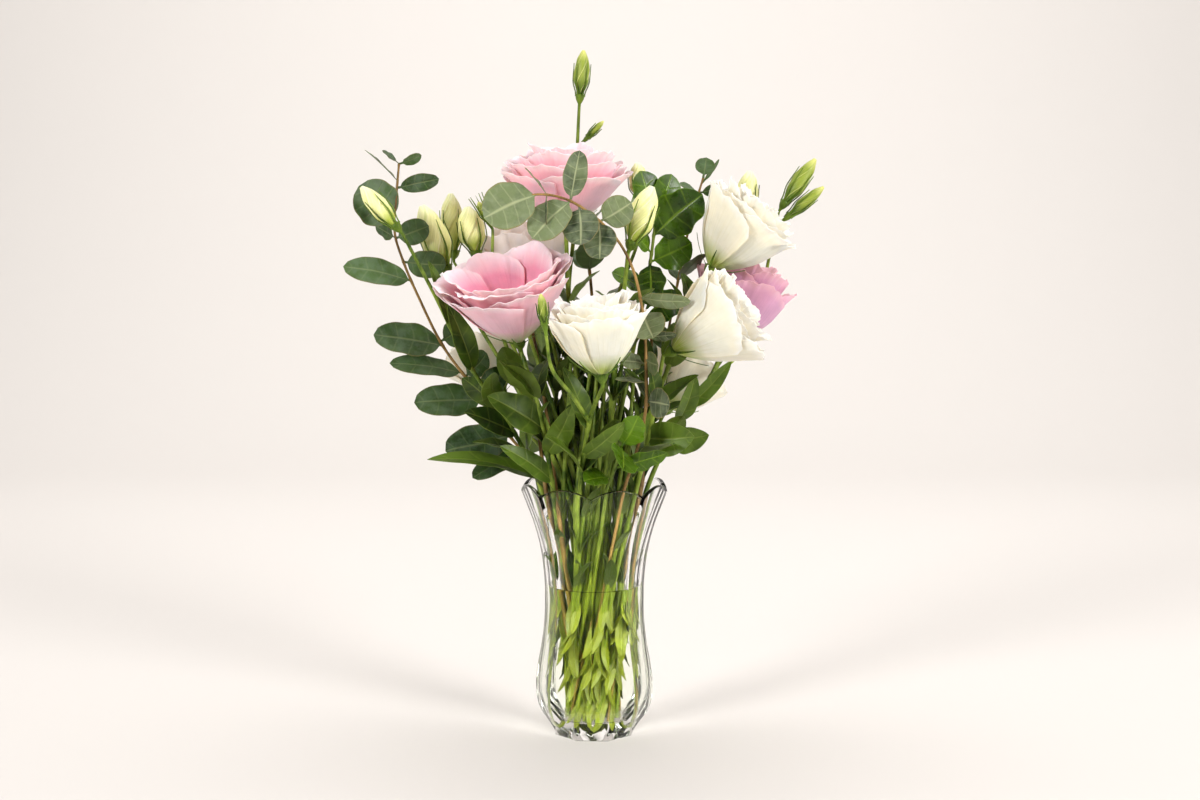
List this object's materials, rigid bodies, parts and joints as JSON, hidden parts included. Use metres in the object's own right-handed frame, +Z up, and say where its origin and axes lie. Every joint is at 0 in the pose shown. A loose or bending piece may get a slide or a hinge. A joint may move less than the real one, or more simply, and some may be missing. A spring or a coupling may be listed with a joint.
{
  "type": "lisianthus flowers in a glass vase",
  "caption": "Bouquet of double lisianthus blooms and buds with eucalyptus and broad-leaved greenery, standing in a fluted clear-glass vase of water.",
  "frame": {"origin": "centre of the underside of the vase's foot", "axes": "+Z up along the vase's axis, -Y towards the viewer, +X to the viewer's right"},
  "size_m": [0.3286, 0.2382, 0.4729],
  "materials": {
    "clear_glass": "clear, polished",
    "clear_water": "clear liquid",
    "stem_leaf": "satin leaf",
    "eucalyptus_leaf": "waxy bloom on a matt leaf",
    "broad_leaf": "glossy leaf",
    "petals_pink": "soft satin petal",
    "petals_white": "soft satin petal",
    "petals_mauve": "soft satin petal",
    "petals_blush": "soft satin petal",
    "petals_cream": "soft satin petal",
    "bud_yellow": "satin petal, wound tight",
    "bud_green": "satin petal, wound tight"
  },
  "bodies": {
    "root": {"bloom_pink_back": "petals_pink", "bloom_pink_front": "petals_pink", "bloom_white_front": "petals_white", "bloom_white_high": "petals_white", "bloom_white_right": "petals_white", "bloom_mauve": "petals_mauve", "bloom_blush": "petals_blush", "bloom_cream_right": "petals_cream", "bloom_cream_left": "petals_cream", "bud_top": "bud_green", "bud_top_side": "bud_green", "bud_far_left": "bud_yellow", "bud_cream_front": "bud_yellow", "bud_cream_right": "bud_yellow", "bud_cream_back": "bud_yellow", "bud_small_left": "bud_green", "bud_mid_right": "bud_yellow", "bud_right_high": "bud_green", "bud_right_low": "bud_green", "bud_behind_pink": "bud_yellow", "bud_behind_white": "bud_yellow", "bud_between": "bud_green", "stem_pink_front": "stem_leaf", "stem_white_front": "stem_leaf", "stem_white_right": "stem_leaf", "stem_far_left": "stem_leaf", "stem_cream_buds": "stem_leaf", "stem_white_high": "stem_leaf", "stem_mauve": "stem_leaf", "stem_pink_back": "stem_leaf", "stem_blush": "stem_leaf", "stem_mid_bud": "stem_leaf", "stem_cream_right": "stem_leaf", "stem_cream_left": "stem_leaf", "eucalyptus_left": "eucalyptus_leaf", "eucalyptus_arch": "eucalyptus_leaf", "eucalyptus_right": "eucalyptus_leaf", "eucalyptus_back": "eucalyptus_leaf", "greenery_mid": "broad_leaf", "greenery_low": "broad_leaf", "vase": "clear_glass", "water": "clear_water"}
  },
  "joints": []
}
